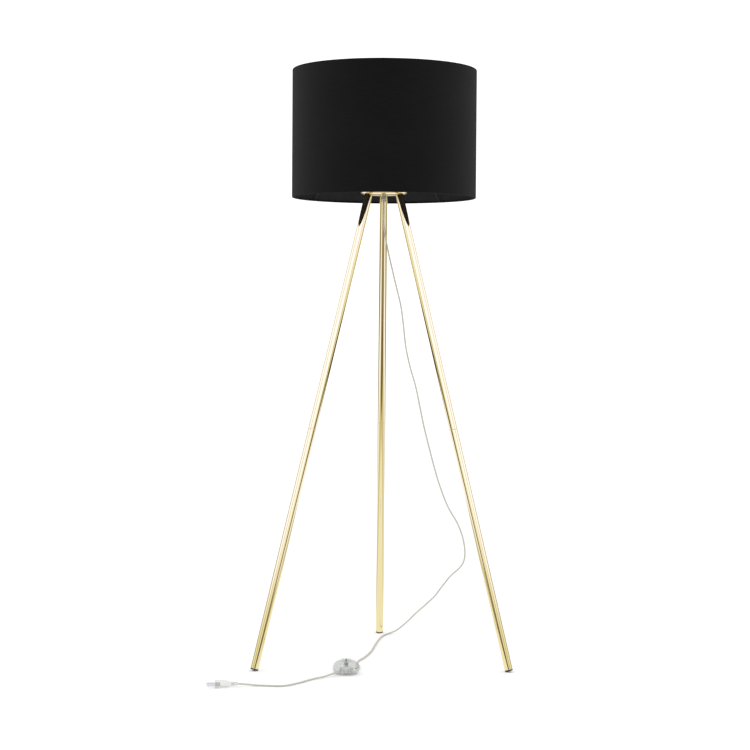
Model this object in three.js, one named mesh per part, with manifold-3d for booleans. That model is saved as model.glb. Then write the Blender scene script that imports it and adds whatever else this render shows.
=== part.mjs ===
// A tripod floor lamp: three polished brass tube legs screwed to a pressed dish, an E27 lampholder
// with a black fabric drum shade, and a clear mains lead with a foot switch and a two-pin plug.
// Millimetres, +Z up. The origin is on the floor under the middle of the shade, and the rear leg
// points along +Y.
import * as THREE from "three";
import { mergeVertices } from "three/addons/utils/BufferGeometryUtils.js";
import Module from "manifold-3d";

const wasm = await Module();
wasm.setup();

// ---- driving dimensions ----
const GAP = 0.3; // between neighbouring solids

const SHADE_RADIUS = 225;
const SHADE_HEIGHT = 310;
const SHADE_BOTTOM_Z = 1129;
const SHADE_WALL = 1; // fabric laminated on its stiff lining
const SHADE_SIDES = 96;
const WIRE_RADIUS = 1.5; // the shade's rings and the fitter's arms
const ARM_TURNS = [50.7, 141.9, 230.7, 321.9]; // degrees from +X, in two pairs
const FITTER_Z = 1177.5; // middle of the fitter's centre ring

const HUB_Z = 1135.7; // underside of the hub dish
const HUB_RADIUS = 57;
const HUB_FLAT = 30; // radius of the flat middle of the dish
const HUB_RISE = 7; // how far the dish curves up from its flat to its rim
const HUB_HEIGHT = 12;
const HUB_WALL = 2;
const BRACKET_RADIUS = 46;
const BRACKET_THICK = 3;
const NIPPLE_RADIUS = 4.9; // M10 x 1 hollow thread
const NIPPLE_HOLE = 5.3;
const LOCKNUT_THICK = 3.2;

const LEG_TILT = 15.06; // degrees from upright
const LEG_TOP_RADIUS = 43.3; // from the lamp's axis to a leg's axis, at the hub's underside
const TUBE_RADIUS = 9.5;
const TUBE_BORE = 8.3;
const TUBE_SIDES = 24;
const SPIGOT_RADIUS = 7.9; // what fits inside a leg tube
const JOINER_LENGTH = 60;
const STUD_RADIUS = 3.9; // M8
const STUD_HOLE = 4.3;
const CAP_LENGTH = 2.8; // the part of the foot cap that shows
const CAP_PLUG = 16; // the part of it inside the tube
const FOOT_FLAT = 0.6; // how deep the cap's lowest edge is worn flat where it stands
const FLOOR_REACH = 800; // of the block that stands for the floor under a foot cap
const LEGS = { left: 210.7, right: 330.7, rear: 90.7 }; // degrees from +X

const HOLDER_RADIUS = 19.8; // outside of the threaded skirt
const RING_BORE = 20.3; // inside of the two shade rings and the fitter's centre ring
const RING_RADIUS = 26.5;

const CORD_RADIUS = 2;
const CORD_SIDES = 8;
const CORD_STEP = 26; // between the cord's sections
const GRIP_BOTTOM_Z = 1119.5;

const SWITCH_PLACE = [-81.5, -205]; // centre of the foot switch on the floor
const SWITCH_TURN = 229; // degrees from +X to the side where the cord leaves for the plug
const PORT_Z = 7; // height of the cord's holes in the switch
const PORT_RADIUS = 2.5;
const PLUG_PLACE = [-324, -365]; // where the cord enters the plug
const PLUG_TURN = 186; // degrees from +X to the plug's pins
const PLUG_Z = 6.9; // height of the pins as the plug lies

const radians = THREE.MathUtils.degToRad;
const TILT = radians(LEG_TILT);
const LEG_END_Z = TUBE_RADIUS * Math.sin(TILT) - FOOT_FLAT; // middle of the leg's end
const LEG_LENGTH = (HUB_Z - LEG_END_Z) / Math.cos(TILT);
const LEG_MIDDLE = LEG_LENGTH / 2;

// ---- materials ----
function finish(color, roughness, metalness, opacity = 1) {
  const transparent = opacity < 1;
  return new THREE.MeshStandardMaterial({ color, roughness, metalness, opacity, transparent });
}
const brass = finish(0xd9c178, 0.12, 1);
const steel = finish(0xb9babb, 0.3, 1);
const contactBrass = finish(0xc9a24e, 0.35, 1);
const blackFabric = finish(0x1b1a1c, 0.9, 0);
const blackPlastic = finish(0x141414, 0.5, 0);
const blackRubber = finish(0x101010, 0.7, 0);
const clearPlastic = finish(0xe2e6e2, 0.1, 0, 0.35);
const clearCord = finish(0xcfcabb, 0.3, 0, 0.8);
const greyPlastic = finish(0x7a7970, 0.5, 0);
const whitePlastic = finish(0xe8e8e4, 0.4, 0);
const opal = finish(0xf4f2ea, 0.25, 0);
const ceramic = finish(0xe4e0d4, 0.4, 0);

// ---- shapes ----
const point = (r, z) => new THREE.Vector2(r, z);

// Points on a profile's arc, from one angle to another in degrees.
function arc(r, z, radius, from, to, steps = 4) {
  return Array.from({ length: steps + 1 }, (_, i) => {
    const a = radians(from + ((to - from) * i) / steps);
    return point(r + radius * Math.cos(a), z + radius * Math.sin(a));
  });
}

// A profile turned about Z. It runs anticlockwise, seen with Z up and the radius to the right.
function turned(profile, sides = 24) {
  const closed = profile[0].x > 0 ? [...profile, profile[0].clone()] : profile;
  return new THREE.LatheGeometry(closed, sides).rotateX(Math.PI / 2);
}

function rod(radius, low, high, sides = 24) {
  return turned([point(0, low), point(radius, low), point(radius, high), point(0, high)], sides);
}

function pipe(radius, bore, low, high, sides = 24) {
  const outside = [point(radius, low), point(radius, high)];
  return turned([...outside, point(bore, high), point(bore, low)], sides);
}

function block(length, width, low, high) {
  return new THREE.BoxGeometry(length, width, high - low).translate(0, 0, (low + high) / 2);
}

function ring(radius, wireRadius, z) {
  return new THREE.TorusGeometry(radius, wireRadius, 6, 60).translate(0, 0, z);
}

function hexNut(acrossFlats, bore, low, high) {
  const corner = acrossFlats / Math.sqrt(3);
  const outline = [0, 60, 120, 180, 240, 300].map((a) =>
    point(corner * Math.cos(radians(a)), corner * Math.sin(radians(a))),
  );
  const shape = new THREE.Shape(outline);
  shape.holes.push(new THREE.Path().absarc(0, 0, bore, 0, 2 * Math.PI, true));
  const options = { depth: high - low, bevelEnabled: false, curveSegments: 16 };
  return new THREE.ExtrudeGeometry(shape, options).translate(0, 0, low);
}

// A round wire or cord along a smooth curve through the points.
function wire(radius, points, sides, steps) {
  const places = points.map((p) => new THREE.Vector3(...p));
  const extrudePath = new THREE.CatmullRomCurve3(places, false, "centripetal");
  const section = new THREE.Shape(
    Array.from({ length: sides }, (_, i) => {
      const a = ((i + 0.5) * 2 * Math.PI) / sides;
      return point(radius * Math.cos(a), radius * Math.sin(a));
    }),
  );
  return new THREE.ExtrudeGeometry(section, { steps, extrudePath, curveSegments: 1 });
}

// ---- booleans ----
function solid(geometry) {
  const bare = geometry.clone();
  bare.deleteAttribute("normal");
  bare.deleteAttribute("uv");
  const merged = mergeVertices(bare, 1e-3);
  const vertProperties = new Float32Array(merged.attributes.position.array);
  const triVerts = new Uint32Array(merged.index.array);
  return new wasm.Manifold(new wasm.Mesh({ numProp: 3, vertProperties, triVerts }));
}

function surface(body) {
  const { vertProperties, triVerts, numProp } = body.getMesh();
  if (numProp !== 3) throw new Error("only positions are expected");
  const geometry = new THREE.BufferGeometry();
  geometry.setAttribute("position", new THREE.BufferAttribute(vertProperties, 3));
  geometry.setIndex(new THREE.BufferAttribute(triVerts, 1));
  geometry.computeVertexNormals();
  return geometry;
}

const cut = (geometry, ...tools) =>
  surface(tools.reduce((body, tool) => body.subtract(solid(tool)), solid(geometry)));
const joined = (geometry, ...others) =>
  surface(others.reduce((body, other) => body.add(solid(other)), solid(geometry)));

// ---- the assembly ----
const lamp = new THREE.Group();

function add(parent, name, geometry, material) {
  const mesh = new THREE.Mesh(geometry, material);
  mesh.name = name;
  parent.add(mesh);
  return mesh;
}

// A leg's frame: its origin is on the leg's axis at the hub's underside, and Z runs up the leg.
function legFrame(turn) {
  return new THREE.Matrix4()
    .makeRotationZ(radians(turn))
    .multiply(new THREE.Matrix4().makeTranslation(LEG_TOP_RADIUS, 0, HUB_Z))
    .multiply(new THREE.Matrix4().makeRotationY(-TILT));
}
const alongLegs = (geometry) =>
  Object.values(LEGS).map((turn) => geometry.clone().applyMatrix4(legFrame(turn)));

// The dish's curved edge, as far inside its underside as inset, from its flat to its rim.
function dishEdge(inset) {
  const steps = 6;
  return Array.from({ length: steps + 1 }, (_, i) => {
    const a = (i * Math.PI) / 2 / steps;
    const reach = HUB_RADIUS - HUB_FLAT - inset;
    return point(HUB_FLAT + reach * Math.sin(a), inset + HUB_RISE * (1 - Math.cos(a)));
  });
}

// What is above the dish's underside, grown by the gap. It copes the legs' upper ends.
function dishSpace() {
  const rim = dishEdge(-GAP);
  return turned([point(0, -GAP), ...rim, point(rim.at(-1).x, 60), point(0, 60)], 48).translate(0, 0, HUB_Z);
}

function addLeg(name, turn) {
  const leg = new THREE.Group();
  leg.applyMatrix4(legFrame(turn));
  lamp.add(leg);
  const end = -LEG_LENGTH;
  const upper = pipe(TUBE_RADIUS, TUBE_BORE, -LEG_MIDDLE + GAP / 2, 10, TUBE_SIDES);
  const lower = pipe(TUBE_RADIUS, TUBE_BORE, end + CAP_LENGTH + GAP, -LEG_MIDDLE - GAP / 2, TUBE_SIDES);
  const cap = turned(
    [
      point(0, end),
      point(TUBE_RADIUS, end),
      point(TUBE_RADIUS, end + CAP_LENGTH),
      point(SPIGOT_RADIUS, end + CAP_LENGTH),
      point(SPIGOT_RADIUS - 0.6, end + CAP_LENGTH + CAP_PLUG),
      point(0, end + CAP_LENGTH + CAP_PLUG),
    ],
    TUBE_SIDES,
  );
  const coping = dishSpace().applyMatrix4(legFrame(turn).invert());
  const ground = block(FLOOR_REACH, 60, -HUB_Z - 30, -HUB_Z).rotateY(TILT);
  const joiner = pipe(
    SPIGOT_RADIUS,
    SPIGOT_RADIUS - 1.5,
    -LEG_MIDDLE - JOINER_LENGTH / 2,
    -LEG_MIDDLE + JOINER_LENGTH / 2,
    16,
  );
  add(leg, `leg_upper_${name}`, cut(upper, coping), brass);
  add(leg, `leg_lower_${name}`, lower, brass);
  add(leg, `foot_cap_${name}`, cut(cap, ground), blackRubber);
  add(leg, `leg_joiner_${name}`, joiner, steel);
  add(leg, `leg_insert_${name}`, pipe(SPIGOT_RADIUS, STUD_HOLE, -24, -4, 16), steel);
  add(leg, `leg_stud_${name}`, rod(STUD_RADIUS, -22, 19, 12), steel);
  add(leg, `leg_nut_${name}`, hexNut(13, STUD_HOLE, 10 + GAP, 16.5), steel);
}

function addHub() {
  const dish = turned(
    [
      point(NIPPLE_HOLE, 0),
      ...dishEdge(0),
      point(HUB_RADIUS, HUB_HEIGHT),
      point(HUB_RADIUS - HUB_WALL, HUB_HEIGHT),
      ...dishEdge(HUB_WALL).reverse(),
      point(NIPPLE_HOLE, HUB_WALL),
    ],
    48,
  ).translate(0, 0, HUB_Z);
  const studHoles = alongLegs(rod(STUD_HOLE, -10, 24, 12));
  add(lamp, "hub_dish", cut(dish, ...studHoles), brass);

  const plateLow = HUB_Z + HUB_WALL + GAP;
  const plate = pipe(BRACKET_RADIUS, NIPPLE_HOLE, plateLow, plateLow + BRACKET_THICK, 36);
  const bosses = alongLegs(rod(8, 2, 10, 16));
  const seat = dishEdge(HUB_WALL + GAP).reverse();
  const outside = HUB_RADIUS + 10;
  const below = turned(
    [
      point(0, -HUB_HEIGHT),
      point(outside, -HUB_HEIGHT),
      point(outside, 2 * HUB_HEIGHT),
      point(seat[0].x, 2 * HUB_HEIGHT),
      ...seat,
      point(0, HUB_WALL + GAP),
    ],
    48,
  ).translate(0, 0, HUB_Z);
  add(lamp, "leg_bracket", cut(joined(plate, ...bosses), below, ...studHoles), steel);

  const nutLow = plateLow + BRACKET_THICK + GAP;
  add(lamp, "hub_locknut", hexNut(14, NIPPLE_HOLE, nutLow, nutLow + LOCKNUT_THICK), steel);
  const nippleLow = HUB_Z - 9;
  add(lamp, "hub_nipple", pipe(NIPPLE_RADIUS, 3.6, nippleLow, HUB_Z + 18, 16), steel);

  const gripTop = HUB_Z - GAP;
  const gripBore = CORD_RADIUS + GAP;
  const grip = turned([
    point(gripBore, GRIP_BOTTOM_Z),
    point(5, GRIP_BOTTOM_Z),
    point(6.1, GRIP_BOTTOM_Z + 3),
    point(6.1, gripTop),
    point(NIPPLE_HOLE, gripTop),
    point(NIPPLE_HOLE, nippleLow - GAP),
    point(gripBore, nippleLow - GAP),
  ]);
  const screwZ = GRIP_BOTTOM_Z + 3.6;
  const sideways = (geometry) => geometry.rotateY(Math.PI / 2).translate(0, 0, screwZ);
  const screwHole = sideways(rod(1.6, 1, 10, 10));
  add(lamp, "cord_grip", cut(grip, screwHole), clearPlastic);
  add(lamp, "grip_screw", sideways(rod(1.3, 2.6, 5.9, 10)), steel);
}

// The E27 lampholder, from its entry on the nipple up to the rim of its threaded skirt.
function addLampholder() {
  const low = HUB_Z + HUB_WALL + BRACKET_THICK + LOCKNUT_THICK + 4 * GAP;
  const base = turned([
    point(NIPPLE_HOLE, low),
    point(9, low),
    point(9, low + 4),
    ...arc(9, low + 14, 10, -90, 0, 3),
    point(19, low + 22),
    point(17, low + 22),
    ...arc(9, low + 14, 8, 0, -90, 3),
    point(NIPPLE_HOLE, low + 6),
  ]);
  add(lamp, "holder_base", base, blackPlastic);
  add(lamp, "holder_core", rod(16, low + 14, low + 21, 20), ceramic);
  add(lamp, "holder_contact", rod(3, low + 21 + GAP, low + 24, 10), contactBrass);
  const thread = pipe(14.6, 13.9, low + 22, low + 44);
  add(lamp, "holder_thread", thread, contactBrass);
  const skirt = pipe(HOLDER_RADIUS, 15.4, low + 22 + GAP, low + 54, 32);
  add(lamp, "holder_skirt", skirt, blackPlastic);

  const ringLow = FITTER_Z - 0.75 - GAP;
  const ringHigh = FITTER_Z + 0.75 + GAP;
  add(lamp, "shade_ring_lower", pipe(RING_RADIUS, RING_BORE, ringLow - 4.5, ringLow, 32), blackPlastic);
  add(lamp, "shade_ring_upper", pipe(RING_RADIUS, RING_BORE, ringHigh, ringHigh + 6, 32), blackPlastic);
  return low + 24 + GAP;
}

// A standard A60 lamp, 108 mm long, whose centre contact stands at low.
function addBulb(low) {
  const capTop = low + 26;
  const cap = turned([
    point(0, low),
    point(4, low),
    point(5.5, low + 2),
    point(13, low + 5.5),
    point(13, capTop),
    point(0, capTop),
  ]);
  const bodyTop = capTop + 33;
  const body = turned([
    point(0, capTop + GAP),
    point(14, capTop + GAP),
    point(15.5, capTop + 6),
    point(22, capTop + 18),
    point(29, bodyTop),
    point(0, bodyTop),
  ]);
  const globeZ = bodyTop + GAP;
  const globe = turned([point(0, globeZ), point(29, globeZ), ...arc(0, globeZ + 19, 30, -8, 90, 9)], 28);
  add(lamp, "bulb_cap", cap, steel);
  add(lamp, "bulb_body", body, whitePlastic);
  add(lamp, "bulb_globe", globe, opal);
}

function addShade() {
  const top = SHADE_BOTTOM_Z + SHADE_HEIGHT;
  const inside = SHADE_RADIUS - SHADE_WALL;
  const ringRadius = inside - WIRE_RADIUS - 2 * GAP;
  const rim = WIRE_RADIUS + GAP; // from a rim of the drum to the middle of its ring
  add(lamp, "shade_drum", pipe(SHADE_RADIUS, inside, SHADE_BOTTOM_Z, top, SHADE_SIDES), blackFabric);
  add(lamp, "shade_ring_top", ring(ringRadius, WIRE_RADIUS, top - rim), blackPlastic);
  add(lamp, "shade_ring_bottom", ring(ringRadius, WIRE_RADIUS, SHADE_BOTTOM_Z + rim), blackPlastic);

  const half = 0.75;
  const centreRing = pipe(RING_RADIUS, RING_BORE, FITTER_Z - half, FITTER_Z + half, 32);
  add(lamp, "fitter_ring", centreRing, blackPlastic);

  const stubRadius = ringRadius - 2 * WIRE_RADIUS - GAP;
  const armPath = [
    [stubRadius, 0, SHADE_BOTTOM_Z + 1],
    [stubRadius, 0, SHADE_BOTTOM_Z + 6],
    [stubRadius - 1, 0, SHADE_BOTTOM_Z + 11],
    [stubRadius - 6, 0, SHADE_BOTTOM_Z + 16],
    [stubRadius - 38, 0, FITTER_Z - 6],
    [stubRadius - 47, 0, FITTER_Z - 1],
    [stubRadius - 58, 0, FITTER_Z],
    [RING_RADIUS + GAP, 0, FITTER_Z],
  ];
  ARM_TURNS.forEach((turn, i) => {
    const arm = add(lamp, `fitter_arm_${i + 1}`, wire(WIRE_RADIUS, armPath, 6, 26), blackPlastic);
    arm.rotation.z = radians(turn);
  });
}

// The cord from the grip under the hub to the foot switch, as it hangs and lies.
const CORD_TO_SWITCH = [
  [0, 0, 1119.2],
  [0, 2, 1098],
  [0, 7, 1075],
  [2, 14, 1051],
  [9, 23, 1011],
  [20, 33, 963],
  [32, 44, 914],
  [44, 55, 865],
  [51, 66, 815],
  [57, 77, 765],
  [68, 89, 715],
  [83, 101, 664],
  [94, 114, 613],
  [105, 127, 562],
  [118, 141, 511],
  [132, 155, 459],
  [148, 170, 407],
  [169, 186, 354],
  [198, 201, 302],
  [213, 214, 252],
  [214, 230, 212],
  [203, 250, 188],
  [183, 272, 166],
  [162, 295, 136],
  [141, 315, 104],
  [117, 330, 78],
  [91, 340, 53],
  [67, 346, 28],
  [43, 343, 9],
  [20, 322, 2.1],
  [5, 290, 2.1],
  [-3, 250, 2.1],
  [-10, 197, 2.1],
  [-16, 143, 2.1],
  [-24, 70, 2.1],
  [-41, -15, 2.1],
  [-54, -58, 2.1],
  [-57, -98, 2.3],
  [-52, -134, 4],
  [-51, -158, 6.2],
  [-60.1, -180.4, 7],
];

// The cord from the foot switch to the plug.
const CORD_TO_PLUG = [
  [-102.9, -229.6, 7],
  [-113, -240.6, 6],
  [-130, -256, 3.2],
  [-158, -283, 2.1],
  [-191, -332, 2.1],
  [-219, -360, 2.1],
  [-250, -361, 2.1],
  [-279, -357, 2.1],
  [-301, -361, 4.6],
  [-323.2, -364.9, 6.9],
];

function addCord(name, route) {
  const places = route.map((p) => new THREE.Vector3(...p));
  const length = new THREE.CatmullRomCurve3(places, false, "centripetal").getLength();
  const steps = Math.ceil(length / CORD_STEP);
  add(lamp, name, wire(CORD_RADIUS, route, CORD_SIDES, steps), clearCord);
}

// The foot switch: a clear puck with a button in its dome. Its frame stands on the floor, and the
// cord comes in at -X and goes out at +X.
function addSwitch() {
  const unit = new THREE.Group();
  unit.position.set(...SWITCH_PLACE, 0);
  unit.rotation.z = radians(SWITCH_TURN);
  lamp.add(unit);
  const split = 11;
  const base = turned(
    [
      point(0, 0),
      point(26.5, 0),
      point(28.5, 1),
      point(31, 5.5),
      point(32.2, split),
      point(30.2, split),
      point(28.8, 5.5),
      point(26.5, 2),
      point(0, 2),
    ],
    32,
  );
  const ports = rod(PORT_RADIUS, -40, 40, 12).rotateY(Math.PI / 2).translate(0, 0, PORT_Z);
  add(unit, "switch_base", cut(base, ports), clearPlastic);

  const cover = turned(
    [
      point(32.3, split + GAP),
      point(32.7, 14),
      point(31.8, 19),
      point(29.3, 24),
      point(25, 28.3),
      point(19, 31.6),
      point(12, 33.6),
      point(12, 31.8),
      point(18.4, 29.9),
      point(23.9, 27),
      point(27.9, 23.1),
      point(30.1, 18.6),
      point(30.9, 14),
      point(30.5, split + GAP),
    ],
    32,
  );
  add(unit, "switch_cover", cover, clearPlastic);

  const button = turned(
    [
      point(2.5, 30),
      point(10, 30),
      point(10, 28),
      point(13.5, 28),
      point(13.5, 29.8),
      point(11.6, 29.8),
      point(11.6, 34),
      point(9.5, 35.4),
      point(6, 36.2),
      point(0, 36.5),
      point(0, 34.4),
      point(2.5, 34.4),
    ],
    24,
  );
  add(unit, "switch_button", button, clearPlastic);

  const plunger = turned(
    [
      point(3.7, 19.5),
      point(5, 19.5),
      point(5, 25.2),
      point(2.2, 27.6),
      point(2.2, 34.1),
      point(0, 34.1),
      point(0, 25),
      point(3.7, 24.4),
    ],
    16,
  );
  add(unit, "switch_plunger", plunger, greyPlastic);

  const blockTop = 13;
  const turns = 5;
  const springLow = blockTop + 1.2 + GAP;
  const springHigh = 24.4 - GAP - 0.3;
  const coil = Array.from({ length: turns * 8 + 1 }, (_, i) => {
    const a = (i * Math.PI) / 4;
    const rise = ((springHigh - springLow) * i) / (turns * 8);
    return [2.6 * Math.cos(a), 2.6 * Math.sin(a), springLow + rise];
  });
  add(unit, "switch_spring", wire(0.35, coil, 5, turns * 8), steel);

  const contactBlock = turned([
    point(0, 2 + GAP),
    point(11, 2 + GAP),
    point(11, blockTop),
    point(7.6, blockTop),
    point(7.6, 17),
    point(6.2, 17),
    point(6.2, blockTop + 0.8),
    point(0, blockTop + 0.8),
  ]);
  add(unit, "switch_block", contactBlock, whitePlastic);

  for (const [name, side] of [["front", 1], ["rear", -1]]) {
    const contact = add(unit, `switch_contact_${name}`, block(12, 2.2, 6, blockTop - 0.5), steel);
    contact.position.y = side * 12.6;
  }
  for (const [name, side] of [["in", -1], ["out", 1]]) {
    const wireHole = rod(1.4, -10, 10, 10).rotateY(Math.PI / 2).translate(0, 0, PORT_Z);
    const terminal = cut(block(8, 9, 2 + GAP, 11), wireHole);
    add(unit, `switch_terminal_${name}`, terminal, contactBrass).position.x = side * 16.5;
  }
}

// A flat two-pin plug lying on the floor, with its strain relief behind it. Its frame is at the
// cord's end, with +X towards the pins.
function addPlug() {
  const plug = new THREE.Group();
  plug.position.set(...PLUG_PLACE, PLUG_Z);
  plug.rotation.z = radians(PLUG_TURN);
  lamp.add(plug);
  const outline = new THREE.Shape();
  outline.moveTo(0, -3.2);
  outline.lineTo(17, -4.2);
  outline.bezierCurveTo(21, -5, 21, -12.5, 30, -12.5);
  outline.lineTo(40, -12.5);
  outline.lineTo(46, -17.4);
  outline.lineTo(52, -17.4);
  outline.lineTo(52, 17.4);
  outline.lineTo(46, 17.4);
  outline.lineTo(40, 12.5);
  outline.lineTo(30, 12.5);
  outline.bezierCurveTo(21, 12.5, 21, 5, 17, 4.2);
  outline.lineTo(0, 3.2);
  const half = 6.8;
  const options = { depth: 2 * half, bevelEnabled: false, curveSegments: 5 };
  const slab = new THREE.ExtrudeGeometry(outline, options).translate(0, 0, -half);
  const relief = turned(
    [
      point(0, -1),
      point(3.4, -1),
      point(4.4, 17),
      point(8.5, 22),
      point(25, 40),
      point(25, 60),
      point(0, 60),
    ],
    16,
  );
  const taper = solid(slab).intersect(solid(relief.rotateY(Math.PI / 2)));
  const rim = 9.3; // from the plug's middle to a pin
  const pinHoles = [rim, -rim].map((y) =>
    rod(2.3, 40, 60, 12).rotateY(Math.PI / 2).translate(0, y, 0),
  );
  add(plug, "plug_body", cut(surface(taper), ...pinHoles), clearPlastic);
  for (const [name, side] of [["left", 1], ["right", -1]]) {
    const tip = 71;
    const pin = turned(
      [
        point(0, 40 + GAP),
        point(1.9, 40 + GAP),
        point(1.9, tip - 1.5),
        point(1, tip),
        point(0, tip),
      ],
      12,
    ).rotateY(Math.PI / 2);
    add(plug, `plug_pin_${name}`, pin, steel).position.y = side * rim;
  }
}

addHub();
for (const [name, turn] of Object.entries(LEGS)) addLeg(name, turn);
addBulb(addLampholder());
addShade();
addCord("cord_to_switch", CORD_TO_SWITCH);
addCord("cord_to_plug", CORD_TO_PLUG);
addSwitch();
addPlug();

export default lamp;
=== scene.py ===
import math

import bmesh
import bpy
from mathutils import Matrix, Vector


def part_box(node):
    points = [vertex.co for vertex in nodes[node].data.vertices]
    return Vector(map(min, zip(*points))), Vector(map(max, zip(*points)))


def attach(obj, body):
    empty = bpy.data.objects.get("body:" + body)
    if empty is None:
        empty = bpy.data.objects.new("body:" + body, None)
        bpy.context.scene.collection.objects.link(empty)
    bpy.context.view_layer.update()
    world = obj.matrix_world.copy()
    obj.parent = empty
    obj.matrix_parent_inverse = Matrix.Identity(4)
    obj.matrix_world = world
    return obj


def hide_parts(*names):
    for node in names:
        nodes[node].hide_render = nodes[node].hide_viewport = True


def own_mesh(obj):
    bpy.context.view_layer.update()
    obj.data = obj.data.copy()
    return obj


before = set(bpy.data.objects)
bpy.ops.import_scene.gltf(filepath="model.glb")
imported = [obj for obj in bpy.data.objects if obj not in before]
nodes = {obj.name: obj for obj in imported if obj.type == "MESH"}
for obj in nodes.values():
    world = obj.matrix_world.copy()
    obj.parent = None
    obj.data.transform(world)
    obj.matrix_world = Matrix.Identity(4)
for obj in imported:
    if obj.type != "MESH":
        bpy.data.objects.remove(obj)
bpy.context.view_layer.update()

# A tripod floor lamp: polished brass tube legs, a black fabric drum shade and a clear lead with a
# foot switch. Places are in metres, and outlines are in millimetres, turned into metres by MM.
# A lathe outline's point is (radius, height) or (radius, height, rounding of that corner).
MM = 0.001


def linked(name, data):
    """A new object of the data, in the scene."""
    made = bpy.data.objects.new(name, data)
    bpy.context.scene.collection.objects.link(made)
    return made


# ---- the camera: millimetres of lens and sensor, and degrees of turn ----
CAMERA_LENS = 87.13
SENSOR_WIDTH = 36
CAMERA_PLACE = (0, -4.4486, 0.845)
CAMERA_YAW = 0.244
CAMERA_DIP = 1.916
CAMERA_ROLL = 0.367


def add_camera():
    data = bpy.data.cameras.new("camera")
    data.lens = CAMERA_LENS
    data.sensor_width = SENSOR_WIDTH
    camera = linked("camera", data)
    yaw = Matrix.Rotation(math.radians(CAMERA_YAW), 4, "Z")
    pitch = Matrix.Rotation(math.radians(90 - CAMERA_DIP), 4, "X")
    roll = Matrix.Rotation(math.radians(CAMERA_ROLL), 4, "Z")
    camera.matrix_world = Matrix.Translation(CAMERA_PLACE) @ yaw @ pitch @ roll
    bpy.context.scene.camera = camera


# ---- places taken from the frame ----
def middle(node):
    low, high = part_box(node)
    return (low + high) / 2


def low_z(node):
    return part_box(node)[0].z


def high_z(node):
    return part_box(node)[1].z


hub_z = low_z("hub_dish")
legs = ("left", "right", "rear")


def leg_frame(leg):
    """Its origin is where the leg's axis meets the hub's underside. Z runs up the leg, X outward."""
    near = middle(f"leg_stud_{leg}")
    far = middle(f"leg_joiner_{leg}")
    up = (near - far).normalized()
    origin = far + up * ((hub_z - far.z) / up.z)
    side = Vector((-origin.y, origin.x, 0)).normalized()
    out = side.cross(up)
    return Matrix.Translation(origin) @ Matrix((out, side, up)).transposed().to_4x4()


def switch_frame():
    """It stands on the floor under the foot switch, with X along the way that the cord takes through it."""
    centre = middle("switch_base")
    along = middle("switch_terminal_out") - middle("switch_terminal_in")
    turn = math.atan2(along.y, along.x)
    return Matrix.Translation((centre.x, centre.y, 0)) @ Matrix.Rotation(turn, 4, "Z")


def plug_frame():
    """Its origin is the cord's end in the plug, and X runs to the pins."""
    pins = (middle("plug_pin_left") + middle("plug_pin_right")) / 2
    start = Vector(CORD_TO_PLUG[-1])
    along = Vector((pins.x - start.x, pins.y - start.y, 0)).normalized()
    turn = math.atan2(along.y, along.x)
    return Matrix.Translation((start.x, start.y, pins.z)) @ Matrix.Rotation(turn, 4, "Z")


# ---- material building ----
class Nodes:
    """A material's node tree, with short calls for the textures that the finishes share."""

    def __init__(self, name, **inputs):
        self.material = bpy.data.materials.new(name)
        self.material.use_nodes = True
        self.tree = self.material.node_tree
        self.shader = self.tree.nodes["Principled BSDF"]
        for key, value in inputs.items():
            self.shader.inputs[key.replace("_", " ")].default_value = value

    def new(self, kind, **settings):
        node = self.tree.nodes.new(f"ShaderNode{kind}")
        for key, value in settings.items():
            setattr(node, key, value)
        return node

    def link(self, start, end):
        self.tree.links.new(start, end)

    def place(self, scale, uv=False):
        """Object or UV coordinates in metres, times a scale on each axis."""
        source = self.new("TexCoord").outputs["UV" if uv else "Object"]
        mapping = self.new("Mapping")
        mapping.inputs["Scale"].default_value = scale
        self.link(source, mapping.inputs["Vector"])
        return mapping.outputs["Vector"]

    def noise(self, scale, uv=False, detail=4, rough=0.55):
        texture = self.new("TexNoise")
        texture.inputs["Scale"].default_value = 1
        texture.inputs["Detail"].default_value = detail
        texture.inputs["Roughness"].default_value = rough
        self.link(self.place(scale, uv), texture.inputs["Vector"])
        return texture.outputs["Fac"]

    def wave(self, scale, direction):
        """Straight bands on the UVs."""
        texture = self.new("TexWave", bands_direction=direction)
        texture.inputs["Scale"].default_value = 1
        texture.inputs["Distortion"].default_value = 0
        texture.inputs["Detail"].default_value = 1
        self.link(self.place(scale, uv=True), texture.inputs["Vector"])
        return texture.outputs["Fac"]

    def colour(self, value, dark, light, start=0.3, end=0.7):
        ramp = self.new("ValToRGB")
        for element, place, tint in zip(ramp.color_ramp.elements, (start, end), (dark, light)):
            element.position = place
            element.color = (*tint, 1)
        self.link(value, ramp.inputs["Fac"])
        self.link(ramp.outputs["Color"], self.shader.inputs["Base Color"])

    def roughness(self, value, low, high):
        """Spreads a texture's middle range over the roughnesses from low to high."""
        spread = self.new("MapRange")
        limits = {"From Min": 0.35, "From Max": 0.65, "To Min": low, "To Max": high}
        for key, number in limits.items():
            spread.inputs[key].default_value = number
        self.link(value, spread.inputs["Value"])
        self.link(spread.outputs["Result"], self.shader.inputs["Roughness"])

    def math(self, operation, first, second):
        node = self.new("Math", operation=operation)
        for socket, value in zip(node.inputs, (first, second)):
            if isinstance(value, (int, float)):
                socket.default_value = value
            else:
                self.link(value, socket)
        return node.outputs["Value"]

    def bump(self, height, depth):
        """Height 1 of a texture stands depth metres proud."""
        bump = self.new("Bump")
        bump.inputs["Strength"].default_value = 1
        bump.inputs["Distance"].default_value = depth
        self.link(height, bump.inputs["Height"])
        self.link(bump.outputs["Normal"], self.shader.inputs["Normal"])


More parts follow.
